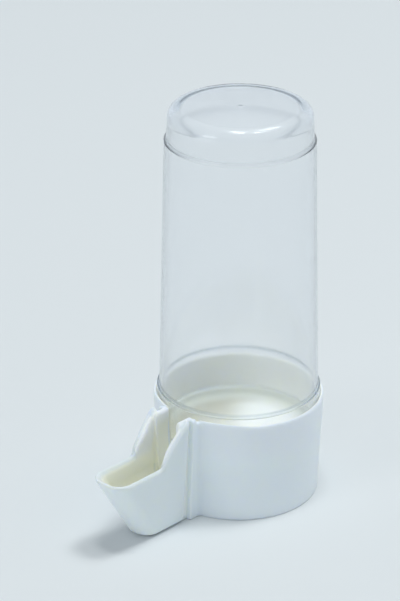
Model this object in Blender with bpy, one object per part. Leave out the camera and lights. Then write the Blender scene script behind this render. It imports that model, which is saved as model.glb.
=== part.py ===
"""Siphon drinker for a bird cage: a clear reservoir tube that stands in a white base cup with a drinking spout.

The tube's axis is vertical and the spout points along -Y. The origin is on the ground, under the middle of the
whole drinker, so the axis of the tube and cup lies at AXIS_Y.
"""

import math

import bpy

MM = 0.001

# Base cup, turned about the tube's axis
RIM_RADIUS = 27.7 * MM  # outside, at the rim
CUP_TAPER = 1.65 * MM  # radius lost from the rim down to the foot
CUP_HEIGHT = 34.4 * MM
CUP_WALL = 1.0 * MM  # beside the tube's skirt
FOOT_WALL = 1.45 * MM  # width of the ring that the cup stands on
RIM_CHAMFER = 0.35 * MM
FOOT_CHAMFER = 0.4 * MM
SEAT_WIDTH = 1.7 * MM  # ledge under the tube's lower edge
PAN_DEPTH = 4.3 * MM  # from the ledge down to the pan's floor
PAN_FILLET = 1.2 * MM
PAN_FLOOR_THICKNESS = 1.4 * MM
PASSAGE_SILL = 0.3 * MM  # step from the pan's floor up to the passage into the spout

# Neck between cup and spout, with the two grooves that take the cage's bars
FLANGE_REACH = 2.0 * MM  # front of the flange, beyond the rim
FLANGE_WIDTH = 15.2 * MM  # at rim height
FLANGE_RISE = 0.8 * MM  # top of the flange above the rim
NECK_DRAFT = math.radians(2.2)
NECK_FILLET = 2.0 * MM  # between flange and cup
GROOVE_WIDTH = 2.2 * MM
GROOVE_DEPTH = 1.7 * MM
NECK_WALL = 1.3 * MM  # behind the groove

# Spout
SPOUT_LENGTH = 35.0 * MM  # front of the lip, beyond the rim
LIP_WIDTH = 14.6 * MM  # outside
LIP_HEIGHT = 24.2 * MM
SPOUT_WALL = 1.5 * MM
SPOUT_FLOOR = 1.5 * MM
SPOUT_CORNER = 6.6 * MM  # plan radius of the front corners
FRONT_FLAT = 1.0 * MM  # least straight width between the front corners
SPOUT_DRAFT = math.radians(4.6)
FRONT_SLANT = math.radians(31.0)
GROUND_GAP = 0.5 * MM  # under the spout
KEEL_CHAMFER = 0.8 * MM  # along the spout's lower edge
WING_RISE = 2.2 * MM  # top of the side wings above the rim
WING_SLOPE = math.radians(50.0)
WING_FILLET = 3.5 * MM  # where the wing runs out into the lip

# Reservoir tube
TUBE_LENGTH = 109.5 * MM
TUBE_WALL = 1.0 * MM
TUBE_TAPER = 1.85 * MM  # radius lost along the body
TUBE_STEP = 0.75 * MM  # at the skirt's shoulder and again below the cap
SKIRT_STANDOUT = 2.9 * MM  # of the shoulder above the rim
CAP_HEIGHT = 10.4 * MM
CAP_TAPER = 0.35 * MM
CAP_FILLET = 3.5 * MM
GATE_RADIUS = 1.0 * MM  # dimple left by the moulding gate
GATE_DEPTH = 0.35 * MM

# Fits
FIT_CLEARANCE = 0.25 * MM  # round the skirt
SEAT_GAP = 0.3 * MM  # between the tube's lower edge and its ledge
FREEBOARD = 1.4 * MM  # lip above the tube's lower edge, where the water stands

# Fineness of round surfaces
TURNED_STEPS = 72
ARC_STEPS = 6
OVERLAP = 1.0 * MM  # by which joined shapes run into each other, and cutters run past a face
SINK = 0.15 * MM  # by which the neck's fillet starts inside the cup's facets

TUBE_FOOT = LIP_HEIGHT - FREEBOARD
SEAT_HEIGHT = TUBE_FOOT - SEAT_GAP
PAN_FLOOR = SEAT_HEIGHT - PAN_DEPTH
TROUGH_FLOOR = GROUND_GAP + SPOUT_FLOOR
FLANGE_TOP = CUP_HEIGHT + FLANGE_RISE
WING_TOP = CUP_HEIGHT + WING_RISE
GROOVE_START = RIM_RADIUS + FLANGE_REACH
GROOVE_END = GROOVE_START + GROOVE_WIDTH
SPOUT_REACH = RIM_RADIUS + SPOUT_LENGTH
AXIS_Y = (SPOUT_REACH - RIM_RADIUS) / 2


def cup_radius(height):
    return RIM_RADIUS - CUP_TAPER * (1 - height / CUP_HEIGHT)


def bore_radius(height):
    return cup_radius(height) - CUP_WALL


def skirt_radius(height):
    return bore_radius(min(height, CUP_HEIGHT)) - FIT_CLEARANCE


def flange_half_width(height):
    return FLANGE_WIDTH / 2 - math.tan(NECK_DRAFT) * (CUP_HEIGHT - height)


def groove_half_width(height):
    return flange_half_width(height) - GROOVE_DEPTH


def neck_half_width(height):
    return groove_half_width(height) - NECK_WALL


def spout_half_width(height):
    return LIP_WIDTH / 2 - math.tan(SPOUT_DRAFT) * (LIP_HEIGHT - height)


def spout_front(height):
    return SPOUT_REACH - math.tan(FRONT_SLANT) * (LIP_HEIGHT - height)


def arc(centre, radius, start, end):
    """Points along an arc in a plane, with angles in radians."""
    points = []
    for i in range(ARC_STEPS + 1):
        angle = start + (end - start) * i / ARC_STEPS
        points.append((centre[0] + radius * math.cos(angle), centre[1] + radius * math.sin(angle)))
    return points


def mirrored(side):
    """A closed plan outline from its +X side, given as (x, reach) points from the cup outwards."""
    return side + [(-x, reach) for x, reach in reversed(side) if x > 0]


def new_object(name, points, edges, faces, parent):
    mesh = bpy.data.meshes.new(name)
    mesh.from_pydata(points, edges, faces)
    mesh.update()
    obj = bpy.data.objects.new(name, mesh)
    obj.parent = parent
    bpy.context.scene.collection.objects.link(obj)
    return obj


def turned(name, profile, parent):
    """A solid of revolution from (radius, height) points that run down the outside and end on the axis."""
    points = [(radius, 0.0, height) for radius, height in profile]
    edges = [(i, i + 1) for i in range(len(points) - 1)]
    obj = new_object(name, points, edges, [], parent)
    screw = obj.modifiers.new("Turn", "SCREW")
    screw.steps = TURNED_STEPS
    screw.render_steps = TURNED_STEPS
    screw.use_merge_vertices = True
    screw.merge_threshold = 0.01 * MM
    screw.use_smooth_shade = True
    return obj


def lofted(name, sections, parent):
    """A solid through plan outlines of equal length, given as (height, outline) from the bottom up."""
    count = len(sections[0][1])
    points = [(x, -reach, height) for height, outline in sections for x, reach in outline]
    faces = []
    for level in range(len(sections) - 1):
        low = level * count
        high = low + count
        for i in range(count):
            j = (i + 1) % count
            faces.append((low + j, low + i, high + i, high + j))
    faces.append(tuple(range(count)))
    top = len(points) - count
    faces.append(tuple(range(len(points) - 1, top - 1, -1)))
    return new_object(name, points, [], faces, parent)


def extruded_across(name, outline, half_width, parent):
    """A solid from (reach, height) points, drawn out along X on both sides."""
    count = len(outline)
    points = [(x, -reach, height) for x in (-half_width, half_width) for reach, height in outline]
    faces = [tuple(range(count)), tuple(range(2 * count - 1, count - 1, -1))]
    for i in range(count):
        j = (i + 1) % count
        faces.append((j, i, count + i, count + j))
    return new_object(name, points, [], faces, parent)


def combine(obj, tool, operation):
    modifier = obj.modifiers.new(tool.name, "BOOLEAN")
    modifier.object = tool
    modifier.operation = operation
    modifier.solver = "EXACT"
    tool.hide_render = True
    tool.display_type = "WIRE"


def shade(obj):
    obj.data.shade_smooth()
    obj.data.set_sharp_from_angle(angle=math.radians(35))


def plastic(name, colour, roughness, transmission=0.0, ior=1.5):
    material = bpy.data.materials.new(name)
    material.use_nodes = True
    shader = material.node_tree.nodes["Principled BSDF"]
    shader.inputs["Base Color"].default_value = (*colour, 1.0)
    shader.inputs["Roughness"].default_value = roughness
    shader.inputs["Metallic"].default_value = 0.0
    shader.inputs["Transmission Weight"].default_value = transmission
    shader.inputs["IOR"].default_value = ior
    return material


def make_cup(parent):
    """The turned cup: outside, rim, the bore and ledge for the skirt, the pan, and the hollow below the pan."""
    pan_radius = bore_radius(SEAT_HEIGHT) - SEAT_WIDTH
    hollow_radius = cup_radius(0.0) - FOOT_CHAMFER - FOOT_WALL
    hollow_top = PAN_FLOOR - PAN_FLOOR_THICKNESS
    pan_corner = (pan_radius - PAN_FILLET, PAN_FLOOR + PAN_FILLET)
    profile = [
        (0.0, PAN_FLOOR),
        *arc(pan_corner, PAN_FILLET, -math.pi / 2, 0.0),
        (pan_radius, SEAT_HEIGHT),
        (bore_radius(SEAT_HEIGHT), SEAT_HEIGHT),
        (bore_radius(CUP_HEIGHT), CUP_HEIGHT),
        (RIM_RADIUS - RIM_CHAMFER, CUP_HEIGHT),
        (cup_radius(CUP_HEIGHT - RIM_CHAMFER), CUP_HEIGHT - RIM_CHAMFER),
        (cup_radius(FOOT_CHAMFER), FOOT_CHAMFER),
        (cup_radius(0.0) - FOOT_CHAMFER, 0.0),
        (hollow_radius, 0.0),
        (hollow_radius, hollow_top),
        (0.0, hollow_top),
    ]
    return turned("base_cup", profile, parent)


def neck_outline(height):
    """The neck in plan: an arc inside the cup's wall, and on each side a fillet, flange, groove and core."""
    flange = flange_half_width(height)
    groove = groove_half_width(height)
    join = cup_radius(height) - SINK
    centre_x = flange + NECK_FILLET
    centre_reach = math.sqrt((join + NECK_FILLET) ** 2 - centre_x**2)
    towards_axis = math.atan2(-centre_reach, -centre_x)
    fillet = arc((centre_x, centre_reach), NECK_FILLET, towards_axis, -math.pi)
    buried = cup_radius(height) - CUP_WALL / 2
    root = math.atan2(centre_reach, centre_x)
    back = arc((0.0, 0.0), buried, math.pi / 2, root)
    core = [(flange, GROOVE_START), (groove, GROOVE_START), (groove, GROOVE_END + OVERLAP)]
    return mirrored(back[1:] + fillet + core) + back[:1]


def neck_block(parent):
    sections = [(height, neck_outline(height)) for height in (0.0, FLANGE_TOP)]
    return lofted("add_neck", sections, parent)


def spout_side(height, start, wall, inset=0.0):
    """Half of the spout's outline, from start to its rounded front, drawn in by wall and, along the keel, by inset."""
    half = spout_half_width(height) - wall - inset
    front = spout_front(height) - wall - inset
    corner = min(SPOUT_CORNER - wall, half - FRONT_FLAT / 2)
    return [(half, start), *arc((half - corner, front - corner), corner, 0.0, math.pi / 2)]


def spout_block(parent):
    keel_top = GROUND_GAP + KEEL_CHAMFER
    sections = [
        (GROUND_GAP, mirrored(spout_side(GROUND_GAP, GROOVE_END, 0.0, KEEL_CHAMFER))),
        (keel_top, mirrored(spout_side(keel_top, GROOVE_END, 0.0))),
        (WING_TOP, mirrored(spout_side(WING_TOP, GROOVE_END, 0.0))),
    ]
    return lofted("add_spout", sections, parent)


def wing_cutter(parent):
    """Everything above the wings' sloping edges and the level lip."""
    slope = math.tan(WING_SLOPE)
    foot = GROOVE_END + (WING_TOP - LIP_HEIGHT) / slope
    half_turn = WING_SLOPE / 2
    centre = (foot + WING_FILLET * math.tan(half_turn), LIP_HEIGHT + WING_FILLET)
    run_out = arc(centre, WING_FILLET, -math.pi / 2 - WING_SLOPE, -math.pi / 2)
    beyond = spout_front(WING_TOP) + OVERLAP
    above = WING_TOP + OVERLAP
    outline = [
        (GROOVE_END - OVERLAP / slope, above),
        *run_out,
        (beyond, LIP_HEIGHT),
        (beyond, above),
    ]
    return extruded_across("cut_wings", outline, spout_half_width(WING_TOP) + OVERLAP, parent)


def trough_cutter(parent):
    """The water space: narrow through the neck, then the full width of the spout."""
    back = RIM_RADIUS - CUP_WALL / 2
    ridge = GROOVE_END + SPOUT_WALL

    def side(height):
        neck = neck_half_width(height)
        return [(neck, back), (neck, ridge), *spout_side(height, ridge, SPOUT_WALL)]

    sections = [(height, mirrored(side(height))) for height in (TROUGH_FLOOR, WING_TOP + OVERLAP)]
    return lofted("cut_trough", sections, parent)


def passage_cutter(parent):
    """The slot through the cup's wall, from just above the pan's floor to past the rim."""
    inner = bore_radius(SEAT_HEIGHT) - SEAT_WIDTH - 2 * PAN_FILLET
    outer = GROOVE_START - NECK_WALL

    def side(height):
        passage = flange_half_width(height) - NECK_WALL
        return [(passage, inner), (passage, outer)]

    levels = (PAN_FLOOR + PASSAGE_SILL, WING_TOP + OVERLAP)
    sections = [(height, mirrored(side(height))) for height in levels]
    return lofted("cut_passage", sections, parent)


def make_base(parent):
    base = make_cup(parent)
    for tool in (neck_block(parent), spout_block(parent)):
        combine(base, tool, "UNION")
    for make_cutter in (wing_cutter, trough_cutter, passage_cutter):
        combine(base, make_cutter(parent), "DIFFERENCE")
    shade(base)
    base.data.materials.append(plastic("white polypropylene", (0.86, 0.87, 0.85), 0.38))
    return base


def tube_profile():
    """Down the outside from the closed top, round the open lower edge, and up the inside, as heights over the foot."""
    rim = CUP_HEIGHT - TUBE_FOOT
    shoulder = rim + SKIRT_STANDOUT
    cap_foot = TUBE_LENGTH - CAP_HEIGHT
    skirt = skirt_radius(CUP_HEIGHT)
    foot = skirt_radius(TUBE_FOOT)
    body_low = skirt - TUBE_STEP
    body_high = body_low - TUBE_TAPER
    cap_low = body_high - TUBE_STEP
    cap_high = cap_low - CAP_TAPER
    outer_top = (cap_high - CAP_FILLET, TUBE_LENGTH - CAP_FILLET)
    inner_fillet = CAP_FILLET - TUBE_WALL
    outside = [
        (0.0, TUBE_LENGTH - GATE_DEPTH),
        (GATE_RADIUS - GATE_DEPTH, TUBE_LENGTH - GATE_DEPTH),
        (GATE_RADIUS, TUBE_LENGTH),
        *arc(outer_top, CAP_FILLET, math.pi / 2, 0.0),
        (cap_low, cap_foot),
        (body_high, cap_foot),
        (body_low, shoulder),
        (skirt, shoulder),
        (skirt, rim),
        (foot, 0.0),
    ]
    inside = [
        (foot - TUBE_WALL, 0.0),
        (skirt - TUBE_WALL, rim),
        (skirt - TUBE_WALL, shoulder - TUBE_WALL),
        (body_low - TUBE_WALL, shoulder - TUBE_WALL),
        (body_high - TUBE_WALL, cap_foot - TUBE_WALL),
        (cap_low - TUBE_WALL, cap_foot - TUBE_WALL),
        *arc(outer_top, inner_fillet, 0.0, math.pi / 2),
        (0.0, TUBE_LENGTH - TUBE_WALL),
    ]
    return outside + inside


def make_tube(parent):
    tube = turned("reservoir_tube", tube_profile(), parent)
    tube.location.z = TUBE_FOOT
    shade(tube)
    tube.data.materials.append(plastic("clear polystyrene", (0.95, 0.97, 0.98), 0.05, 1.0, 1.59))
    return tube


def main():
    for obj in list(bpy.data.objects):
        bpy.data.objects.remove(obj)
    drinker = bpy.data.objects.new("drinker_axis", None)
    drinker.location.y = AXIS_Y
    bpy.context.scene.collection.objects.link(drinker)
    make_base(drinker)
    make_tube(drinker)


main()
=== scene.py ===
import cmath
import math

import bmesh
import bpy
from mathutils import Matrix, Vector


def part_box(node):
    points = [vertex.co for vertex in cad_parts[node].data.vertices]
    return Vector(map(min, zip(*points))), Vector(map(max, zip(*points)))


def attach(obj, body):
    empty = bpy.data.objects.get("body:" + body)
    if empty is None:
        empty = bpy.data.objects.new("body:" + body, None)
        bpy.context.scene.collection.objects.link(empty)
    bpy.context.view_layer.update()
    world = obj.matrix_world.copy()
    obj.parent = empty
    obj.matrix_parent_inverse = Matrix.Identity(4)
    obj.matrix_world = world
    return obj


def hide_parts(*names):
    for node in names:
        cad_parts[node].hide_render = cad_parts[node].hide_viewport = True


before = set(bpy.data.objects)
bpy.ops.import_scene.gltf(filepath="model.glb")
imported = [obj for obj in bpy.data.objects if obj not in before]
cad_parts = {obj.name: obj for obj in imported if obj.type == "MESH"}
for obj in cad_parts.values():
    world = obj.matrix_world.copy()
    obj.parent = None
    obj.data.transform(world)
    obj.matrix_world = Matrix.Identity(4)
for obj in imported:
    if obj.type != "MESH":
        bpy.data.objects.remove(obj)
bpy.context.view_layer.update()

# Modelling is in millimetres from here on, and meshes are scaled to metres when they are made.
metres = 0.001


def boxOf(node):
    low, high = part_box(node)
    return low / metres, high / metres


baseLow, baseHigh = boxOf("base_cup")
tubeLow, tubeHigh = boxOf("reservoir_tube")
rimRadius = (baseHigh.x - baseLow.x) / 2
axisY = baseHigh.y - rimRadius  # cup and tube are turned about this upright line
spoutReach = axisY - baseLow.y


# Camera

view = {
    "azimuth": 42.0,  # degrees round from the spout's tip
    "turn": 0.921,  # degrees that the lens looks past the tube's axis
    "tilt": 25.152,  # degrees down
    "standOff": 778.6,  # from the tube's axis
    "height": 431.44,
    "lens": 161.18,
    "sensor": 36.0,
    "clip": (0.05, 50.0),  # metres
}


def makeCamera():
    azimuth = math.radians(view["azimuth"])
    camera = bpy.data.objects.new("photoCamera", bpy.data.cameras.new("photoCamera"))
    camera.data.lens = view["lens"]
    camera.data.sensor_width = view["sensor"]
    camera.data.clip_start, camera.data.clip_end = view["clip"]
    away = Vector((math.sin(azimuth), -math.cos(azimuth), 0.0)) * view["standOff"]
    camera.location = (away + Vector((0.0, axisY, view["height"]))) * metres
    heading = math.radians(view["azimuth"] + view["turn"])
    camera.rotation_euler = (math.radians(90.0 - view["tilt"]), 0.0, heading)
    bpy.context.scene.collection.objects.link(camera)
    bpy.context.scene.camera = camera


makeCamera()
print("camera set")


# Node trees: sockets that take part in sums

class Wire:
    def __init__(self, tree, socket=None):
        self.tree = tree
        self.socket = socket

    def node(self, kind, settings=None, inputs=None, out=0):
        made = self.tree.nodes.new(kind)
        for name, value in (settings or {}).items():
            if name == "stops":
                setStops(made.color_ramp, value)
            elif name == "items":
                addItems(made, value)
            else:
                setattr(made, name, value)
        for name, value in (inputs or {}).items():
            if isinstance(value, Wire):
                self.tree.links.new(value.socket, made.inputs[name])
            else:
                made.inputs[name].default_value = value
        return Wire(self.tree, made.outputs[out])

    def out(self, name):
        return Wire(self.tree, self.socket.node.outputs[name])

    def math(self, operation, *values):
        return self.node("ShaderNodeMath", {"operation": operation}, dict(enumerate(values)))

    def __add__(self, other):
        return self.math("ADD", self, other)

    def __radd__(self, other):
        return self.math("ADD", other, self)

    def __sub__(self, other):
        return self.math("SUBTRACT", self, other)

    def __rsub__(self, other):
        return self.math("SUBTRACT", other, self)

    def __mul__(self, other):
        return self.math("MULTIPLY", self, other)

    def __rmul__(self, other):
        return self.math("MULTIPLY", other, self)

    def __truediv__(self, other):
        return self.math("DIVIDE", self, other)


def setStops(ramp, stops):
    while len(ramp.elements) < len(stops):
        ramp.elements.new(1.0)
    for element, (place, shade) in zip(ramp.elements, stops):
        element.position = place
        element.color = (shade, shade, shade, 1.0)


def addItems(switch, count):
    while len(switch.index_switch_items) < count:
        switch.index_switch_items.new()


# Materials

whitePlastic = {
    "colour": (0.835, 0.888, 0.912),
    "pale": (0.85, 0.90, 0.925),
    "roughness": 0.40,  # before streaks and grain
    "streakRough": 0.07,
    "grainRough": 0.05,
    "shine": 0.35,
    "ior": 1.49,
    "glow": 0.75,  # share of light that sinks into the plastic
    "glowDepth": 0.0019,
    "glowTint": (1.0, 0.94, 0.7),
    "grain": 0.00035,  # size of the mould's grain
    "cloud": 0.022,  # size of the soft changes of tone
    "streak": (260.0, 260.0, 24.0),  # flow streaks to the metre, drawn out along the height
    "streakShare": 0.25,  # of the tone, and the clouds have the rest
    "bump": (0.10, 0.00008),  # strength and depth
    "grainBump": 0.7,
    "streakBump": 0.5,
}

clearPlastic = {
    "colour": (0.998, 0.999, 1.0),
    "dull": (0.995, 0.997, 0.999),
    "roughness": 0.09,
    "scuffed": 0.06,
    "matte": 0.05,  # inside the closed end, as the mould's core left it
    "matteTop": (0.4, 0.6),  # mm below the top, between its outer and inner face
    "matteSide": (-0.1, 0.1),  # mm from the middle of the side wall
    "matteReach": 4.0,  # mm below the step under the cap
    "matteFade": 5.0,
    "stepMatte": 0.22,  # on the step under the cap
    # painted shade: a faint grey line round the step under the cap
    "stepTint": (0.955, 0.96, 0.965),
    "skirtMatte": 0.12,  # on the step above the skirt
    # painted shade: a dark line round the step above the skirt
    "skirtTint": (0.80, 0.84, 0.88),
    "stepBand": (0.3, 0.7),  # mm from a step, where painted shade and matt finish begin and end to fade
    "ior": 1.59,
    "shade": (0.995, 0.996, 0.995),  # share of lamplight that passes each face
    "depthTint": (0.55, 0.70, 0.86),  # colour of a long way through the plastic
    "depth": 45.0,  # how soon it shows
    "wave": 0.012,  # spacing of the flow waves round the tube
    "waveDraw": 0.12,  # the waves are drawn out along it
    "bump": (0.06, 0.0003),  # strength and depth of the waves
    "scratch": 0.0016,
    "scratchTurn": (0.5, 0.3, 0.2),
    "scratchDraw": 0.05,
    "scuffStops": [(0.6, 0.0), (0.78, 1.0)],
}


def newMaterial(name):
    material = bpy.data.materials.new(name)
    material.use_nodes = True
    tree = material.node_tree
    shader = tree.nodes["Principled BSDF"]
    return material, Wire(tree), shader


def feed(shader, name, wire):
    wire.tree.links.new(wire.socket, shader.inputs[name])


def smooth(graph, value, start, end):
    return graph.node("ShaderNodeMapRange", {"interpolation_type": "SMOOTHSTEP"}, {
        "Value": value, "From Min": start, "From Max": end})


def bumpOf(graph, height, size):
    strength, depth = size
    return graph.node("ShaderNodeBump", {}, {"Strength": strength, "Distance": depth, "Height": height})


def mixColour(graph, share, first, second):
    first, second = (c if isinstance(c, Wire) else (*c, 1.0) for c in (first, second))
    return graph.node("ShaderNodeMix", {"data_type": "RGBA"}, {0: share, 6: first, 7: second}, out=2)


def whitePlasticMaterial():
    material, graph, shader = newMaterial("white polypropylene")
    place = graph.node("ShaderNodeTexCoord").out("Object")
    cloud = graph.node("ShaderNodeTexNoise", {}, {
        "Vector": place, "Scale": 1.0 / whitePlastic["cloud"], "Detail": 3.0, "Roughness": 0.55})
    grain = graph.node("ShaderNodeTexNoise", {}, {
        "Vector": place, "Scale": 1.0 / whitePlastic["grain"], "Detail": 2.0, "Roughness": 0.5})
    drawn = graph.node("ShaderNodeMapping", {}, {"Vector": place, "Scale": whitePlastic["streak"]})
    streak = graph.node("ShaderNodeTexNoise", {}, {
        "Vector": drawn, "Scale": 1.0, "Detail": 4.0, "Roughness": 0.6})
    share = whitePlastic["streakShare"]
    tone = cloud * (1.0 - share) + streak * share
    colour = mixColour(graph, tone, whitePlastic["colour"], whitePlastic["pale"])
    # Painted light and shade, stored per point in the tint attribute, multiply the colour
    tint = graph.node("ShaderNodeAttribute", {"attribute_name": "tint"}).out("Color")
    colour = graph.node("ShaderNodeMix", {"data_type": "RGBA", "blend_type": "MULTIPLY"}, {
        0: 1.0, 6: colour, 7: tint}, out=2)
    feed(shader, "Base Color", colour)
    rough = whitePlastic["roughness"] + streak * whitePlastic["streakRough"]
    feed(shader, "Roughness", rough + grain * whitePlastic["grainRough"])
    relief = grain * whitePlastic["grainBump"] + streak * whitePlastic["streakBump"]
    feed(shader, "Normal", bumpOf(graph, relief, whitePlastic["bump"]))
    shader.inputs["IOR"].default_value = whitePlastic["ior"]
    shader.inputs["Specular IOR Level"].default_value = whitePlastic["shine"]
    shader.inputs["Subsurface Weight"].default_value = whitePlastic["glow"]
    shader.inputs["Subsurface Radius"].default_value = whitePlastic["glowTint"]
    shader.inputs["Subsurface Scale"].default_value = whitePlastic["glowDepth"]
    return material


def insideCap(graph, place):  # 1 on the inner face near the closed end
    split = graph.node("ShaderNodeSeparateXYZ", {}, {"Vector": place})
    x = split.out("X") / metres
    y = split.out("Y") / metres - axisY
    square = x * x + y * y
    radius = square.math("SQRT", square)
    below = tubeHigh.z - split.out("Z") / metres
    capRadius = tube["Skirt Radius"] - 2 * tube["Step"] - tube["Body Taper"] - tube["Cap Taper"]
    inner = smooth(graph, below, *clearPlastic["matteTop"])
    inner *= smooth(graph, capRadius - tube["Wall"] / 2 - radius, *clearPlastic["matteSide"])
    lowest = tube["Cap Height"] + clearPlastic["matteReach"]
    return inner * smooth(graph, lowest - below, 0.0, clearPlastic["matteFade"])


def onStep(graph, place, level):  # 1 within the band round a step of the tube
    height = graph.node("ShaderNodeSeparateXYZ", {}, {"Vector": place}).out("Z") / metres
    away = height - level
    return 1.0 - smooth(graph, away.math("ABSOLUTE", away), *clearPlastic["stepBand"])


def clearPlasticMaterial():
    material, graph, shader = newMaterial("clear polystyrene")
    place = graph.node("ShaderNodeTexCoord").out("Object")
    stretched = graph.node("ShaderNodeMapping", {}, {
        "Vector": place, "Scale": (1.0, 1.0, clearPlastic["waveDraw"])})
    wave = graph.node("ShaderNodeTexNoise", {}, {
        "Vector": stretched, "Scale": 1.0 / clearPlastic["wave"], "Detail": 2.0, "Roughness": 0.45})
    crossed = graph.node("ShaderNodeMapping", {}, {
        "Vector": place, "Rotation": clearPlastic["scratchTurn"],
        "Scale": (1.0, 1.0, clearPlastic["scratchDraw"])})
    scratch = graph.node("ShaderNodeTexNoise", {}, {
        "Vector": crossed, "Scale": 1.0 / clearPlastic["scratch"], "Detail": 3.0, "Roughness": 0.6})
    scuff = graph.node("ShaderNodeValToRGB", {"stops": clearPlastic["scuffStops"]}, {"Fac": scratch})
    colour = mixColour(graph, wave, clearPlastic["colour"], clearPlastic["dull"])
    rough = clearPlastic["roughness"] + scuff * clearPlastic["scuffed"]
    rough += insideCap(graph, place) * clearPlastic["matte"]
    levels = {"step": tubeHigh.z - tube["Cap Height"], "skirt": tubeLow.z + tube["Skirt Height"]}
    # Painted shade and a matt finish in a band round each step
    for name, level in levels.items():
        near = onStep(graph, place, level)
        colour = mixColour(graph, near, colour, clearPlastic[name + "Tint"])
        rough += near * clearPlastic[name + "Matte"]
    feed(shader, "Base Color", colour)
    feed(shader, "Roughness", rough)
    feed(shader, "Normal", bumpOf(graph, wave, clearPlastic["bump"]))
    shader.inputs["Transmission Weight"].default_value = 1.0
    shader.inputs["IOR"].default_value = clearPlastic["ior"]
    shadowRay = graph.node("ShaderNodeLightPath").out("Is Shadow Ray")  # lamps shine through the tube
    thin = graph.node("ShaderNodeBsdfTransparent", {}, {"Color": (*clearPlastic["shade"], 1.0)})
    glass = Wire(graph.tree, shader.outputs["BSDF"])
    mixed = graph.node("ShaderNodeMixShader", {}, {0: shadowRay, 1: glass, 2: thin})
    output = graph.tree.nodes["Material Output"]
    graph.tree.links.new(mixed.socket, output.inputs["Surface"])
    depth = graph.node("ShaderNodeVolumeAbsorption", {}, {
        "Color": (*clearPlastic["depthTint"], 1.0), "Density": clearPlastic["depth"]})
    graph.tree.links.new(depth.socket, output.inputs["Volume"])
    return material


print("plastics ready")


# Meshes

mergeDistance = 1e-7  # metres


def addMesh(name, points, faces):
    mesh = bpy.data.meshes.new(name)
    mesh.from_pydata([(x * metres, (axisY + y) * metres, z * metres) for x, y, z in points], [], faces)
    tidyMesh(mesh)
    made = bpy.data.objects.new(name, mesh)
    bpy.context.scene.collection.objects.link(made)
    return made


def tidyMesh(mesh):
    work = bmesh.new()
    work.from_mesh(mesh)
    bmesh.ops.remove_doubles(work, verts=work.verts, dist=mergeDistance)
    bmesh.ops.recalc_face_normals(work, faces=work.faces)
    work.to_mesh(mesh)
    work.free()
    mesh.update()


def applyModifiers(made):
    evaluated = made.evaluated_get(bpy.context.evaluated_depsgraph_get())
    mesh = bpy.data.meshes.new_from_object(evaluated)
    made.modifiers.clear()
    made.data = mesh


def steps(start, end, count):
    return [start + (end - start) * i / count for i in range(count + 1)]


# White base: one moulding whose wall follows a keyhole outline round the cup, neck and spout

cup = {
    "height": 34.3,
    "taper": 1.65,  # radius lost down to the foot
    "wall": 1.0,
    "hollowRadius": 24.2,
    "rimRound": (0.72, 2.0, 0.25, 0.35),  # outer width and height, inner width and height
    "rimSweep": 0.9,  # rise of the rim towards the neck
    "sweepRun": (14.0, 10.0),  # reach at which the rise begins, and its length
    "footRound": 0.5,
    "footBevel": 0.2,  # inside
    "sharpAngle": 38.0,  # degrees from which an edge is shaded sharp
    "arcSteps": 96,
}

pan = {
    "seat": 22.5,  # height of the ledge under the tube
    "floor": 18.2,
    "radius": 24.43,
    "fillet": 3.8,
    "ledgeRound": 0.3,
    "thickness": 1.4,
    "sill": 0.3,
    "turnSteps": 192,
}

neck = {
    "flangeReach": 29.7,
    "flangeWidth": 15.2,
    "flangeTop": 36.3,
    "flangeDip": 34.9,  # between the rim and the flange's front
    "dipRun": (26.2, 0.9),  # reach and length of the fall into the dip
    "riseRun": (28.2, 1.1),  # and of the rise out of it
    "ridgeTop": 36.5,  # of the wall behind the groove
    "ridgeSteep": 1.8,  # how fast it climbs to the wing
    "topRound": (0.7, 0.9, 0.8, 1.2),
    "topExtra": 0.5,  # thickness of the upper wall beyond the lower one
    "topDepth": (5.0, 5.0),  # where it begins, below the rim, and its length
    "topRun": (27.6, 1.2),  # reach at which the top of the neck begins, and length
    "topSide": (0.6, 0.5),  # how far it runs past the flange's side, and length
    "draft": 2.2,
    "fillet": 2.0,
    "mouthRound": 0.6,
    "mouthDepth": 2.5,  # of the passage's mouth inside the rim
    "grooveWidth": 2.2,
    "grooveDepth": 1.7,
    "wall": 1.3,
    "edge": 0.45,
    "grooveEdge": 0.7,  # share of that rounding in the groove
    "damReach": 27.4,  # front of the wall between pan and trough
    "damRound": 0.5,
    "floor": 1.5,
}

spout = {
    "lipWidth": 14.6,
    "lipHeight": 24.2,
    "wall": 1.5,
    "floor": 2.0,
    "corner": 6.6,
    "frontFlat": 1.0,
    "draft": 4.6,
    "slant": 31.0,
    "gap": 0.5,  # clear of the ground
    "keelRound": 1.3,
    "lipRound": (0.7, 0.9, 1.0, 1.7),
    "backRound": 0.8,
    "backCorner": 0.9,  # inside
    "backFlat": 1.0,  # from the groove to where the wing's own slope begins
    "wingSlope": 50.0,
    "wingFillet": 3.5,
    "wingCrest": 0.9,  # softness of the wing's tip
    "wingLift": 0.8,  # of the soft tip over the solid one
    "crestLift": 0.1,
    "crestFill": 0.6,  # height given back to the crest, as a share of its softness
    "lipExtra": 0.5,  # thickness of the upper wall beyond the lower one
    "lipDepth": (9.0, 7.0),  # where it begins, below the lip, and its length
    "wingExtra": 0.9,  # and of the wings beyond the lip
    "wingRun": 6.0,  # height over which they thicken
}

wingTop = baseHigh.z + spout["wingLift"]
grooveEnd = neck["flangeReach"] + neck["grooveWidth"]
innerBack = grooveEnd + spout["wall"]
outlineTop = 40.0  # height up to which the drafted outlines are drawn


def cupRadius(height):
    return rimRadius - cup["taper"] * (1.0 - height / cup["height"])


def flangeHalf(height):
    return neck["flangeWidth"] / 2 - math.tan(math.radians(neck["draft"])) * (cup["height"] - height)


def spoutHalf(height):
    return spout["lipWidth"] / 2 - math.tan(math.radians(spout["draft"])) * (spout["lipHeight"] - height)


def spoutFront(height):
    return spoutReach - math.tan(math.radians(spout["slant"])) * (spout["lipHeight"] - height)


# Plan points are complex numbers: across the spout, and reach from the tube's axis towards its tip.

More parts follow.
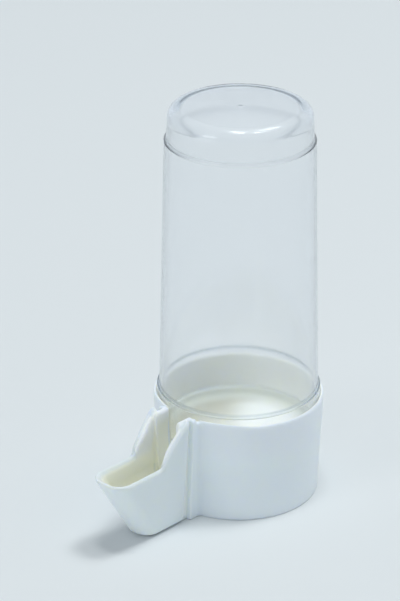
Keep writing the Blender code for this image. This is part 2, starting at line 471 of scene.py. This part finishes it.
def sweep(centre, start, end, count):
    turn = cmath.phase((end - centre) / (start - centre))
    return [centre + (start - centre) * cmath.exp(1j * turn * i / count) for i in range(count + 1)]


def roundedRun(start, corners, straightSteps, roundSteps):
    points = []
    here = start
    for i, (corner, radius) in enumerate(corners):
        if i == len(corners) - 1:
            points += steps(here, corner, straightSteps[i])[1:]
            break
        back = (here - corner) / abs(here - corner)
        ahead = (corners[i + 1][0] - corner) / abs(corners[i + 1][0] - corner)
        halfAngle = abs(cmath.phase(ahead / back)) / 2
        reach = radius / math.tan(halfAngle)
        bisector = (back + ahead) / abs(back + ahead)
        centre = corner + bisector * radius / math.sin(halfAngle)
        points += steps(here, corner + back * reach, straightSteps[i])[1:]
        points += sweep(centre, corner + back * reach, corner + ahead * reach, roundSteps[i])[1:]
        here = corner + ahead * reach
    return points


runSteps = [5, 4, 5, 4, 46, 2]  # straight runs from the flange's side to the spout's tip
cornerSteps = [5, 5, 5, 6, 24]  # and the corners between them
filletSteps = 10


def keyhole(radius, mouth, corners):
    half = corners[0][0].real
    centre = complex(half + mouth, math.sqrt((radius + mouth) ** 2 - (half + mouth) ** 2))
    side = math.atan2(centre.real, centre.imag)
    angles = steps(math.pi, side, cup["arcSteps"])
    points = [complex(radius * math.sin(a), radius * math.cos(a)) for a in angles]
    onCup = centre - centre / abs(centre) * mouth
    onSide = centre - mouth
    points += sweep(centre, onCup, onSide, filletSteps)[1:]
    points += roundedRun(onSide, corners, runSteps, cornerSteps)
    return points + [complex(-p.real, p.imag) for p in points[-2:0:-1]]


def frontCorner(half, front, wall):
    radius = min(spout["corner"] - wall, half - spout["frontFlat"] / 2)
    return complex(half, front), radius


def outerOutline(height):
    flange, half, front = flangeHalf(height), spoutHalf(height), spoutFront(height)
    groove = flange - neck["grooveDepth"]
    edge = neck["edge"]
    inGroove = edge * neck["grooveEdge"]
    return keyhole(cupRadius(height), neck["fillet"], [
        (complex(flange, neck["flangeReach"]), edge),
        (complex(groove, neck["flangeReach"]), inGroove),
        (complex(groove, grooveEnd), inGroove),
        (complex(half, grooveEnd), spout["backRound"]),
        frontCorner(half, front, 0.0),
        (complex(0.0, front), 0.0)])


def troughCorners(height):
    half = spoutHalf(height) - spout["wall"]
    front = spoutFront(height) - spout["wall"]
    ridge = flangeHalf(height) - neck["grooveDepth"] - neck["wall"]
    return [
        (complex(ridge, innerBack), neck["edge"]),
        (complex(half, innerBack), spout["backCorner"]),
        frontCorner(half, front, spout["wall"]),
        (complex(0.0, front), 0.0)]


def innerOutline(height):
    passage = flangeHalf(height) - neck["wall"]
    ridge = passage - neck["grooveDepth"]
    back = neck["flangeReach"] - neck["wall"]
    return keyhole(cupRadius(height) - cup["wall"], neck["mouthRound"], [
        (complex(passage, back), neck["edge"]),
        (complex(ridge, back), neck["edge"]),
        *troughCorners(height)])


# A trace of the passage's two corners is left below it, so that all outlines have as many points.
trace = {"across": 0.1, "reach": 0.3, "edge": 0.02}


def lowerOutline(height):  # below the passage, where the neck is solid up to the trough
    ridge = flangeHalf(height) - neck["grooveDepth"] - neck["wall"]
    back = neck["flangeReach"] - neck["wall"]
    return keyhole(cup["hollowRadius"], neck["mouthRound"], [
        (complex(ridge + trace["across"], back), trace["edge"]),
        (complex(ridge, back + trace["reach"]), trace["edge"]),
        *troughCorners(height)])


def ease(value):
    share = min(1.0, max(0.0, value))
    return share * share * (3.0 - 2.0 * share)


def ramp(value, start, length):
    return ease((value - start) / length)


def wingHeight(reach):
    slope = math.radians(spout["wingSlope"])
    fillet = spout["wingFillet"]
    lip = spout["lipHeight"]
    foot = grooveEnd + (wingTop - lip) / math.tan(slope)
    level = foot + fillet * math.tan(slope / 2)  # where the fillet has run out into the lip
    steep = level - fillet * math.sin(slope)
    if reach >= level:
        return lip
    if reach > steep:
        return lip + fillet - math.sqrt(fillet**2 - (level - reach) ** 2)
    line = lip + (foot - reach) * math.tan(slope)
    soft = spout["wingCrest"]
    peak = wingTop + spout["crestLift"]
    return peak - soft * math.log(1.0 + math.exp((peak - line) / soft)) + soft * spout["crestFill"]


def topHeight(spot, reach):  # spot is on the outer face, reach belongs to the face in question
    groove = flangeHalf(cup["height"]) - neck["grooveDepth"]
    across = abs(spot.real) - groove
    rim = cup["height"] + cup["rimSweep"] * ramp(spot.imag, *cup["sweepRun"])
    if spot.imag > grooveEnd + spout["backFlat"]:
        return wingHeight(reach)
    if spot.imag > (neck["flangeReach"] + grooveEnd) / 2:
        up = ease(across / (spoutHalf(cup["height"]) - groove) * neck["ridgeSteep"])
        return neck["ridgeTop"] + (wingHeight(reach) - neck["ridgeTop"]) * up
    flange = rim + (neck["flangeDip"] - rim) * ramp(spot.imag, *neck["dipRun"])
    flange += (neck["flangeTop"] - flange) * ramp(spot.imag, *neck["riseRun"])
    if spot.imag > neck["flangeReach"] - neck["edge"]:
        return neck["ridgeTop"] + (flange - neck["ridgeTop"]) * ease(across / neck["grooveDepth"])
    return flange


class Wall:
    outlines = {"outer": outerOutline, "inner": innerOutline, "lower": lowerOutline}

    def __init__(self):
        self.low = {name: outline(0.0) for name, outline in self.outlines.items()}
        self.high = {name: outline(outlineTop) for name, outline in self.outlines.items()}
        self.count = len(self.low["outer"])

    def at(self, name, i, height):
        low, high = self.low[name][i], self.high[name][i]
        return low + (high - low) * height / outlineTop

    def point(self, i, height, name, inset):  # inset is from the outer face, or from the inner one
        outer = self.at("outer", i, height)
        inner = self.at("inner" if name == "outer" else name, i, height)
        across = (inner - outer) / abs(inner - outer)
        spot = outer + across * inset if name == "outer" else inner - across * inset
        return spot.real, -spot.imag, height


wallShares = [0.012, 0.04, 0.1, 0.2, 0.3, 0.4, 0.5, 0.6, 0.7, 0.8, 0.9, 0.96, 0.988]
wallSeam = 0.01  # between the inner outline and the lower one
quarter = [math.radians(a) for a in steps(0.0, 90.0, 6)]  # angles of a rounded edge


def thicker(height, onSpout, onNeck):
    fromLip = height - spout["lipHeight"]
    below, run = spout["lipDepth"]
    lip = spout["lipExtra"] * ease((fromLip + below) / run)
    wing = spout["wingExtra"] * ease(fromLip / spout["wingRun"])
    below, run = neck["topDepth"]
    top = neck["topExtra"] * ease((height - cup["height"] + below) / run)
    return onSpout * (lip + wing) + (onNeck - onSpout) * top


def wallSection(wall, i):
    spot = wall.at("outer", i, cup["height"])
    reach, across = spot.imag, abs(spot.real)
    onSpout = ease((reach - grooveEnd) / spout["backRound"] + 0.5)
    past, run = neck["topSide"]
    onNeck = ramp(reach, *neck["topRun"]) * ease((flangeHalf(cup["height"]) + past - across) / run)
    onNeck = max(onSpout, onNeck)
    bottom = spout["gap"] * onSpout
    keel = cup["footRound"] + (spout["keelRound"] - cup["footRound"]) * onSpout
    outerTop = topHeight(spot, wall.at("outer", i, spout["lipHeight"]).imag)
    innerTop = topHeight(spot, wall.at("inner", i, spout["lipHeight"]).imag)
    fatter = 1.0 + thicker(outerTop, onSpout, onSpout) / spout["wall"] / 2
    rounds = zip(cup["rimRound"], neck["topRound"], spout["lipRound"])
    outIn, outUp, inIn, inUp = (
        a + (b - a) * (onNeck - onSpout) + (c * fatter - a) * onSpout for a, b, c in rounds)
    nearNeck = abs(wall.at("outer", i, 0.0).real) < flangeHalf(0.0) + neck["fillet"]
    inNeck = reach > rimRadius - neck["mouthDepth"] and nearNeck
    change = pan["floor"] + pan["sill"] if inNeck else (pan["seat"] + pan["floor"]) / 2
    section = [("outer", keel * (1 - math.sin(a)), bottom + keel * (1 - math.cos(a))) for a in quarter]
    rise = outerTop - outUp - bottom - keel
    section += [("outer", 0.0, bottom + keel + rise * share) for share in wallShares]
    section += [("outer", outIn * (1 - math.cos(a)), outerTop - outUp * (1 - math.sin(a))) for a in quarter]
    section += [("inner", inIn * (1 - math.sin(a)), innerTop - inUp * (1 - math.cos(a))) for a in quarter]
    fall = change - innerTop + inUp
    section += [("inner", 0.0, innerTop - inUp + fall * share) for share in wallShares]
    section += [("inner", 0.0, change)]
    bevel = cup["footBevel"]
    fall = bottom + bevel - change
    section += [("lower", 0.0, change - wallSeam + fall * share) for share in [0.0, *wallShares]]
    section += [("lower", 0.0, bottom + bevel), ("lower", bevel, bottom)]
    return [
        wall.point(i, height, name, inset - thicker(height, onSpout, onNeck) * (name == "inner"))
        for name, inset, height in section]


def makeWall():
    wall = Wall()
    sections = [wallSection(wall, i) for i in range(wall.count)]
    count = len(sections[0])
    points = [p for section in sections for p in section]
    faces = []
    for i in range(wall.count):
        j = (i + 1) % wall.count
        for k in range(count):
            m = (k + 1) % count
            faces.append((i * count + k, j * count + k, j * count + m, i * count + m))
    return addMesh("baseWall", points, faces)


def prismFaces(count):  # two ends of as many points, and the sides between them
    faces = [tuple(range(count)), tuple(range(2 * count - 1, count - 1, -1))]
    return faces + [(i, (i + 1) % count, count + (i + 1) % count, count + i) for i in range(count)]


def prism(name, low, high, lowOutline, highOutline):
    points = [(p.real, -p.imag, low) for p in lowOutline] + [(p.real, -p.imag, high) for p in highOutline]
    return addMesh(name, points, prismFaces(len(lowOutline)))


onAxis = 1e-6  # nearer to the middle than this, a point has no twin


def bothSides(half):
    return half + [complex(-p.real, p.imag) for p in reversed(half) if p.real > onAxis]


# How far the fillings run into the wall or stay off its faces, so that no two faces fall together
overlaps = {
    "ground": 0.05,
    "panSkirt": 0.05,
    "panFoot": 1.0,
    "passageSide": 0.15,
    "passageFloor": 0.06,
    "passageEnd": 1.0,  # in front and above
    "damSide": 0.2,
    "damTop": 0.03,
    "damBack": 0.1,
    "neckStart": 1.0,
    "neckEnd": 0.2,
    "troughStart": 0.6,
    "troughBack": 0.5,
    "troughEdge": 0.05,
    "troughUnder": 0.3,
    "troughSide": 0.8,
}


def makePan():
    fillet = pan["fillet"]
    ledge = pan["ledgeRound"]
    buried = cupRadius(pan["floor"]) - cup["wall"] / 2
    hollow = cup["hollowRadius"] + overlaps["panSkirt"]
    ground = overlaps["ground"]
    under = pan["floor"] - pan["thickness"]
    profile = [(0.0, pan["floor"])]
    edge, floor, seat = pan["radius"], pan["floor"], pan["seat"]
    profile += [(edge - fillet * (1 - math.sin(a)), floor + fillet * (1 - math.cos(a))) for a in quarter]
    profile += [(edge + ledge * (1 - math.cos(a)), seat - ledge * (1 - math.sin(a))) for a in quarter]
    profile += [(buried, seat), (buried, under), (buried - overlaps["panFoot"], ground)]
    profile += [(hollow, ground), (hollow, under), (0.0, under)]
    turn = pan["turnSteps"]
    points = []
    for i in range(turn):
        angle = 2 * math.pi * i / turn
        points += [(r * math.cos(angle), r * math.sin(angle), z) for r, z in profile]
    count = len(profile)
    faces = []
    for i in range(turn):
        j = (i + 1) % turn
        for k in range(count - 1):
            ring = [i * count + k, j * count + k, j * count + k + 1, i * count + k + 1]
            if k == 0:
                ring = [i * count, j * count + 1, i * count + 1]
            elif k == count - 2:
                ring = [i * count + k, j * count + k, i * count + k + 1]
            faces.append(tuple(ring))
    return addMesh("basePan", points, faces)


def makePassage():
    half = flangeHalf(pan["floor"]) - neck["wall"] + overlaps["passageSide"]
    start = pan["radius"] - 2 * pan["fillet"]
    past = overlaps["passageEnd"]
    outline = bothSides([complex(half, start), complex(half, neck["flangeReach"] + past)])
    low = pan["floor"] + pan["sill"] - overlaps["passageFloor"]
    return prism("passageCut", low, wingTop + past, outline, outline)


def makeDam():
    half = flangeHalf(pan["floor"]) - neck["grooveDepth"] - neck["wall"] + overlaps["damSide"]
    top = pan["floor"] + pan["sill"] - overlaps["damTop"]
    front = neck["damReach"]
    back = cup["hollowRadius"] + overlaps["damBack"]
    curve = neck["damRound"]
    side = [(back, overlaps["ground"]), (front, overlaps["ground"])]
    side += [(front - curve * (1 - math.cos(a)), top - curve * (1 - math.sin(a))) for a in quarter]
    side += [(back, top)]
    points = [(x, -reach, z) for x in (-half, half) for reach, z in side]
    return addMesh("neckDam", points, prismFaces(len(side)))


def makeNeckFloor():
    half = flangeHalf(0.0) - neck["grooveDepth"] - neck["wall"] / 2
    start = neck["damReach"] - overlaps["neckStart"]
    outline = bothSides([complex(half, start), complex(half, grooveEnd - overlaps["neckEnd"])])
    return prism("neckFloor", overlaps["ground"], neck["floor"], outline, outline)


floorRuns = [1, 1, 1, 1]  # steps along the trough floor's edge
floorCorners = [1, 1, 24]


def floorOutline(height, wall):
    ridge = flangeHalf(height) - neck["grooveDepth"] - neck["wall"] / 2
    half = spoutHalf(height) - wall
    front = spoutFront(height) - wall
    back = innerBack - overlaps["troughBack"]
    corners = [
        (complex(ridge, back), overlaps["troughEdge"]),
        (complex(half, back), overlaps["troughEdge"]),
        frontCorner(half, front, wall),
        (complex(0.0, front), 0.0)]
    start = complex(ridge, neck["damReach"] - overlaps["troughStart"])
    return bothSides([start, *roundedRun(start, corners, floorRuns, floorCorners)])


def makeTroughFloor():
    low = spout["gap"] + overlaps["ground"]
    under = floorOutline(low, spout["keelRound"] + overlaps["troughUnder"])
    upper = floorOutline(spout["floor"], overlaps["troughSide"])
    return prism("troughFloor", low, spout["floor"], under, upper)


def join(made, tool, operation):
    modifier = made.modifiers.new(tool.name, "BOOLEAN")
    modifier.object = tool
    modifier.operation = operation
    modifier.solver = "EXACT"


# Painted light and shade on the white base, as factors on its colour; outside leaves it as it is
tints = {
    "outside": (1.0, 1.0, 1.0),
    "spoutOutside": (0.94, 0.94, 0.935),  # painted shade: darker, as the wall is thinner, with nothing pale behind it
    # painted shade on the lip's rounded edge
    "lip": (0.885, 0.88, 0.855),
    "wing": (1.10, 1.065, 1.04),  # painted light inside the wings, above the trough's
    "trough": (1.15, 1.08, 0.92),  # painted light, lighter and yellower, for light bounced about inside the deep trough
    # painted shade, yellower, for light bounced about inside the neck
    "neckInside": (0.97, 0.91, 0.76),
    # painted pool of light on the pan's floor
    "pan": (1.07, 1.015, 0.915),
    "panShadow": (0.63, 0.58, 0.46),  # painted shadow round the pan's lit spot
    # painted shade on the pan's front part
    "panFront": (0.70, 0.65, 0.51),
    # painted shade, lighter than the shadow, up the pan's fillet
    "panSide": (0.97, 0.935, 0.83),
    "ledge": (0.80, 0.775, 0.685),  # painted shade on the ledge, where the tube stands
    # painted light low on the cup's inner wall
    "wallLow": (1.17, 1.10, 0.95),
    # painted light, warmer, on the cup's inner wall
    "cupInside": (1.15, 1.085, 0.945),
}

# Where the painted light and shade change, in mm: most pairs are the start of a change and its length.
paintedShading = {
    "spoutFrom": (0.3, 0.6),  # behind the dam's front and above the keel, where the spout's tints begin
    "inside": 0.7,  # run from the middle of the spout's wall to its inner face
    "cornerSlack": 0.2,
    "neckRun": 2.0,  # from the trough's back wall, where the neck's inside turns into the trough's
    "neckSide": (0.2, 0.5),
    # height where the wings' painted light gives way to the trough's
    "troughLightTop": (22.0, 4.0),
    "neckRise": 10.0,  # of that line, in the neck
    "spoutRun": 1.5,  # past the groove, outside
    "lipBelow": (1.4, 1.0),
    "lipAbove": (0.3, 1.5),
    "lipWing": (0.5, 1.5),  # rise of the wing over the lip
    "floorBelow": 0.2,
    "seatAbove": 0.1,
    "wallRun": 7.0,  # up from the seat
    "mouth": (13.0, 9.0),  # reach at which the cup's wall turns into the neck
    "litSpot": complex(2.7, -10.3),  # middle of the pan's painted pool of light, across and reach
    "litEdge": (14.0, 7.0),  # from that lit spot, where the painted shadow begins
    "panRise": 2.0,  # up from the pan's floor
    "front": (2.0, 12.0),
    "ledge": (0.6, 0.4),
}


def blend(first, second, share):
    return tuple(a + (b - a) * share for a, b in zip(first, second))


# Painted light and shade on the spout and neck: lighter inside the wings, lighter and yellower low in the
# trough, darker outside and on the lip
def spoutTint(across, reach, height):
    half = spoutHalf(height) - spout["wall"] / 2
    front = spoutFront(height) - spout["wall"] / 2
    corner = min(spout["corner"], half - paintedShading["cornerSlack"]) - spout["wall"] / 2
    fromCorner = math.hypot(max(0.0, across - half + corner), max(0.0, reach - front + corner))
    inner = ease((corner - fromCorner) / paintedShading["inside"])
    inNeck = 1.0 - ramp(reach, innerBack, paintedShading["neckRun"])
    if inNeck > 0.5:
        past, run = paintedShading["neckSide"]
        inner = ease((flangeHalf(height) - neck["grooveDepth"] + past - across) / run)
    # painted light: the wings' above the line, the trough's below it
    line, run = paintedShading["troughLightTop"]
    under = 1.0 - ramp(height, line + paintedShading["neckRise"] * inNeck, run)
    inside = blend(tints["wing"], tints["trough"], under)
    # painted shade on the spout's outside
    outside = blend(tints["outside"], tints["spoutOutside"], ramp(reach, grooveEnd, paintedShading["spoutRun"]))
    # painted shade on the lip
    fromLip = height - spout["lipHeight"]
    below, run = paintedShading["lipBelow"]
    onLip = ease((fromLip + below) / run) * (1.0 - ramp(fromLip, *paintedShading["lipAbove"]))
    onLip *= 1.0 - ramp(wingHeight(reach) - spout["lipHeight"], *paintedShading["lipWing"])
    return blend(blend(outside, inside, inner), tints["lip"], onLip)


# Painted light and shade in the cup: a pool of light on the pan with shadow round and in front of it, shade
# on the ledge, lighter walls
def cupTint(side, reach, height):
    if height > pan["seat"] + paintedShading["seatAbove"]:
        # painted light on the cup's inner wall, strongest low down
        shade = blend(tints["wallLow"], tints["cupInside"], ramp(height, pan["seat"], paintedShading["wallRun"]))
        # painted shade, yellower, towards the neck's inside
        return blend(shade, tints["neckInside"], ramp(reach, *paintedShading["mouth"]))
    # painted pool of light on the pan's floor, fading into painted shadow round it
    fromSpot = abs(complex(side, reach) - paintedShading["litSpot"])
    low = blend(tints["pan"], tints["panShadow"], ramp(fromSpot, *paintedShading["litEdge"]))
    low = blend(low, tints["panSide"], ramp(height, pan["floor"], paintedShading["panRise"]))
    # painted shade towards the pan's front
    low = blend(low, tints["panFront"], ramp(reach, *paintedShading["front"]))
    # painted shade on the ledge under the tube's edge
    within, run = paintedShading["ledge"]
    return blend(low, tints["ledge"], ease((math.hypot(side, reach) - pan["radius"] + within) / run))


def tintAt(side, reach, height):
    behind, above = paintedShading["spoutFrom"]
    if reach > neck["damReach"] - behind and height > spout["gap"] + above:
        return spoutTint(abs(side), reach, height)
    inCup = math.hypot(side, reach) < cupRadius(height) - cup["wall"] / 2
    if inCup and height > pan["floor"] - paintedShading["floorBelow"]:
        return cupTint(side, reach, height)
    return tints["outside"]


# Stores the painted light and shade from tintAt as the tint attribute
def addTint(mesh):
    layer = mesh.attributes.new("tint", "FLOAT_COLOR", "POINT")
    for vertex, shade in zip(mesh.vertices, layer.data):
        spot = vertex.co / metres
        shade.color = (*tintAt(spot.x, axisY - spot.y, spot.z), 1.0)


def makeBase():
    made = makeWall()
    dish = makePan()
    passage = makePassage()
    join(dish, passage, "DIFFERENCE")
    applyModifiers(dish)
    fillings = [dish, makeDam(), makeNeckFloor(), makeTroughFloor()]
    for filling in fillings:
        join(made, filling, "UNION")
    applyModifiers(made)
    for tool in [passage, *fillings]:
        bpy.data.objects.remove(tool)
    tidyMesh(made.data)
    made.name = "base"
    made.data.name = "base"
    made.data.shade_smooth()
    made.data.set_sharp_from_angle(angle=math.radians(cup["sharpAngle"]))
    addTint(made.data)
    made.data.materials.clear()
    made.data.materials.append(whitePlasticMaterial())
    return made


base = makeBase()
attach(base, "base")
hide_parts("base_cup")
print("base moulded:", len(base.data.polygons), "faces")


# Clear tube: a turned section with a rounded corner at each bend, made by a node tree

tube = {
    "Length": tubeHigh.z - tubeLow.z,
    "Skirt Radius": (tubeHigh.x - tubeLow.x) / 2,
    "Skirt Height": 14.5,
    "Skirt Taper": 0.56,  # radius lost down to the open edge
    "Fit Height": 11.6,  # length that stands in the cup
    "Wall": 1.0,
    "Step": 0.75,
    "Step Drop": 0.8,  # height over which the step under the cap falls away
    "Step Round": 0.6,
    "Step Offset": 0.25,  # of the step inside, below the one outside
    "Skirt Drop": 0.6,
    "Skirt Round": 0.45,
    "Skirt Offset": 0.55,
    "Body Taper": 1.85,
    "Cap Height": 10.4,
    "Cap Taper": 0.35,
    "Cap Round": 3.5,
    "Core Round": 4.2,  # inside the closed end
    "Edge Round": 0.3,
    "Gate Radius": 1.2,
    "Gate Slope": 0.7,  # width of the gate mark's slope
    "Gate Round": 0.6,
    "Gate Depth": 0.05,
    "Merge Distance": 0.0001,
}
tubeCounts = {"Turn Steps": 256, "Corner Steps": 7}


def treeInputs(tree, sizes, kind):
    for name, value in sizes.items():
        socket = tree.interface.new_socket(name, in_out="INPUT", socket_type=kind)
        socket.default_value = value


def tubeTree():
    tree = bpy.data.node_groups.new("turned tube", "GeometryNodeTree")
    treeInputs(tree, tube, "NodeSocketFloat")
    treeInputs(tree, tubeCounts, "NodeSocketInt")
    tree.interface.new_socket("Plastic", in_out="INPUT", socket_type="NodeSocketMaterial")
    tree.interface.new_socket("Geometry", in_out="OUTPUT", socket_type="NodeSocketGeometry")
    graph = Wire(tree)
    sizes = graph.node("NodeGroupInput")
    length, wall, step, edge = (sizes.out(name) for name in ("Length", "Wall", "Step", "Edge Round"))
    soft, skirtSoft = (sizes.out(name) for name in ("Step Round", "Skirt Round"))
    fall = sizes.out("Step Drop") / 2.0
    skirtFall = sizes.out("Skirt Drop") / 2.0
    skirt, shoulder, fit = (sizes.out(name) for name in ("Skirt Radius", "Skirt Height", "Fit Height"))
    gate, gateDepth, gateRound = (sizes.out("Gate " + name) for name in ("Radius", "Depth", "Round"))
    openEdge = skirt - sizes.out("Skirt Taper")
    bodyLow = skirt - step
    bodyHigh = bodyLow - sizes.out("Body Taper")
    capLow = bodyHigh - step
    capHigh = capLow - sizes.out("Cap Taper")
    capFoot = length - sizes.out("Cap Height")
    inCap = capFoot - sizes.out("Step Offset")
    inShoulder = shoulder - sizes.out("Skirt Offset")
    corners = [  # radius, height over the open edge, rounding
        (0.0, length - gateDepth, 0.0),
        (gate - sizes.out("Gate Slope"), length - gateDepth, gateRound),
        (gate, length, gateRound),
        (capHigh, length, sizes.out("Cap Round")),
        (capLow, capFoot + fall, soft),
        (bodyHigh, capFoot - fall, soft),
        (bodyLow, shoulder + skirtFall, skirtSoft),
        (skirt, shoulder - skirtFall, skirtSoft),
        (skirt, fit, 0.0),
        (openEdge, 0.0, edge),
        (openEdge - wall, 0.0, edge),
        (skirt - wall, fit, 0.0),
        (skirt - wall, inShoulder - skirtFall, skirtSoft),
        (bodyLow - wall, inShoulder + skirtFall, skirtSoft),
        (bodyHigh - wall, inCap - fall, soft),
        (capLow - wall, inCap + fall, soft),
        (capHigh - wall, length - wall, sizes.out("Core Round")),
        (0.0, length - wall, 0.0)]
    count = len(corners)
    index = graph.node("GeometryNodeInputIndex")
    spots = [graph.node("ShaderNodeCombineXYZ", {}, {"X": r, "Z": z}) for r, z, _ in corners]
    places = {str(i): spot for i, spot in enumerate(spots)}
    radii = {str(i): corner[2] for i, corner in enumerate(corners)}
    switch = "GeometryNodeIndexSwitch"
    corner = graph.node(switch, {"data_type": "VECTOR", "items": count}, {"Index": index, **places})
    rounding = graph.node(switch, {"data_type": "FLOAT", "items": count}, {"Index": index, **radii})
    line = graph.node("GeometryNodeCurvePrimitiveLine")
    line = graph.node("GeometryNodeResampleCurve", {}, {"Curve": line, "Count": count})
    line = graph.node("GeometryNodeSetPosition", {}, {"Geometry": line, "Position": corner})
    line = graph.node("GeometryNodeFilletCurve", {"mode": "POLY"}, {
        "Curve": line, "Count": sizes.out("Corner Steps"), "Radius": rounding})
    rings = graph.node("GeometryNodeAttributeDomainSize", {"component": "CURVE"}, {"Geometry": line})
    rings = rings.out("Point Count")
    turns = sizes.out("Turn Steps")
    grid = graph.node("GeometryNodeMeshGrid", {}, {"Vertices X": turns + 1.0, "Vertices Y": rings})
    passed = index / rings
    column = passed.math("FLOOR", passed)
    row = index - column * rings
    spot = graph.node("GeometryNodeSampleIndex", {"data_type": "FLOAT_VECTOR", "domain": "POINT"}, {
        "Geometry": line, "Value": graph.node("GeometryNodeInputPosition"), "Index": row})
    flat = graph.node("ShaderNodeSeparateXYZ", {}, {"Vector": spot})
    angle = column / turns * (2.0 * math.pi)
    turned = graph.node("ShaderNodeCombineXYZ", {}, {
        "X": flat.out("X") * angle.math("COSINE", angle),
        "Y": flat.out("X") * angle.math("SINE", angle),
        "Z": flat.out("Z")})
    shell = graph.node("GeometryNodeSetPosition", {}, {"Geometry": grid, "Position": turned})
    shell = graph.node("GeometryNodeMergeByDistance", {}, {
        "Geometry": shell, "Distance": sizes.out("Merge Distance")})
    shell = graph.node("GeometryNodeSetShadeSmooth", {}, {"Geometry": shell})
    foot = (0.0, axisY * metres, tubeLow.z * metres)
    shell = graph.node("GeometryNodeTransform", {}, {
        "Geometry": shell, "Translation": foot, "Scale": (metres,) * 3})
    shell = graph.node("GeometryNodeRealizeInstances", {}, {"Geometry": shell})
    shell = graph.node("GeometryNodeSetMaterial", {}, {"Geometry": shell, "Material": sizes.out("Plastic")})
    output = tree.nodes.new("NodeGroupOutput")
    tree.links.new(shell.socket, output.inputs[0])
    return tree


def makeTube():
    made = bpy.data.objects.new("reservoir", bpy.data.meshes.new("reservoir"))
    bpy.context.scene.collection.objects.link(made)
    modifier = made.modifiers.new("Turn", "NODES")
    modifier.node_group = tubeTree()
    for socket in modifier.node_group.interface.items_tree:
        if socket.name == "Plastic":
            modifier[socket.identifier] = clearPlasticMaterial()
    applyModifiers(made)
    tidyMesh(made.data)
    return made


reservoir = makeTube()
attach(reservoir, "reservoir")
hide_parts("reservoir_tube")
print("tube turned:", len(reservoir.data.polygons), "faces")


# Stage: pale floor, soft lamps and an even sky

stage = {
    "floorColour": (0.765, 0.785, 0.785),
    "floorRadius": 2.4,
    "floorSides": 96,
    "floorRoughness": 0.9,
    "floorShine": 0.1,
    "lampColour": (0.94, 0.975, 0.99),
    "horizon": (0.505, 0.57, 0.63),
    "zenith": (0.30, 0.32, 0.335),
    "paleHorizon": (0.78, 0.85, 0.91),  # both as the camera and clear or shiny surfaces see them
    "paleZenith": (1.02, 1.09, 1.15),
    "skyFade": (0.35, 0.9),  # from the horizon's colour to the zenith's, 1 is straight up
}

# Places are in metres to the right of the tube, behind it as the camera sees it, and above the floor.
# Shiny surfaces show only the mirrored ones.
lamps = {
    "overhead": {"place": (0.0, -0.1, 2.66), "size": (0.5, 0.5), "power": 8.5, "mirrored": False},
    "overheadRight": {"place": (0.84, 0.3, 2.66), "size": (0.72, 0.8), "power": 21.0, "mirrored": False},
    "window": {"place": (-1.5, -1.3, 0.95), "size": (0.8, 0.7), "power": 5.0, "mirrored": True},
    "stripLeft": {"place": (-0.06, -0.1, 2.6), "size": (0.4, 0.16), "power": 4.6, "mirrored": True},
    "stripRight": {"place": (0.66, 0.2, 2.6), "size": (0.16, 0.55), "power": 6.2, "mirrored": True},
}


def makeFloor():
    work = bmesh.new()
    bmesh.ops.create_circle(work, cap_ends=True, segments=stage["floorSides"], radius=stage["floorRadius"])
    mesh = bpy.data.meshes.new("floor")
    work.to_mesh(mesh)
    work.free()
    floor = bpy.data.objects.new("floor", mesh)
    material, _, shader = newMaterial("pale paper")
    shader.inputs["Base Color"].default_value = (*stage["floorColour"], 1.0)
    shader.inputs["Roughness"].default_value = stage["floorRoughness"]
    shader.inputs["Specular IOR Level"].default_value = stage["floorShine"]
    mesh.materials.append(material)
    bpy.context.scene.collection.objects.link(floor)


def makeSky():
    world = bpy.data.worlds.new("soft sky")
    world.use_nodes = True
    graph = Wire(world.node_tree)
    towards = graph.node("ShaderNodeTexCoord").out("Generated")
    up = graph.node("ShaderNodeSeparateXYZ", {}, {"Vector": towards}).out("Z")
    ray = graph.node("ShaderNodeLightPath")
    shown = ray.out("Is Camera Ray")
    for kind in ("Is Glossy Ray", "Is Transmission Ray"):
        shown = shown.math("MAXIMUM", shown, ray.out(kind))
    low = mixColour(graph, shown, stage["horizon"], stage["paleHorizon"])
    top = mixColour(graph, shown, stage["zenith"], stage["paleZenith"])
    colour = mixColour(graph, smooth(graph, up, *stage["skyFade"]), low, top)
    feed(world.node_tree.nodes["Background"], "Color", colour)
    bpy.context.scene.world = world


def makeLamps():
    azimuth = math.radians(view["azimuth"])
    right = Vector((math.cos(azimuth), math.sin(azimuth), 0.0))
    behind = Vector((-math.sin(azimuth), math.cos(azimuth), 0.0))
    for name, lamp in lamps.items():
        light = bpy.data.lights.new(name, "AREA")
        light.shape = "RECTANGLE"
        light.size, light.size_y = lamp["size"]
        light.energy = lamp["power"]
        light.color = stage["lampColour"]
        made = bpy.data.objects.new(name, light)
        across, back, height = lamp["place"]
        made.location = right * across + behind * back + Vector((0.0, axisY * metres, height))
        aim = Vector((0.0, axisY * metres, 0.0)) - made.location
        made.rotation_euler = aim.to_track_quat("-Z", "Y").to_euler()
        made.visible_transmission = False  # its light through the tube is counted once
        made.visible_glossy = lamp["mirrored"]
        bpy.context.scene.collection.objects.link(made)


makeFloor()
makeSky()
makeLamps()
scene = bpy.context.scene
scene.view_settings.view_transform = "Standard"
scene.cycles.max_bounces = 24  # light runs a long way inside the tube's wall
scene.cycles.glossy_bounces = 16
scene.cycles.transmission_bounces = 24
print("stage lit")
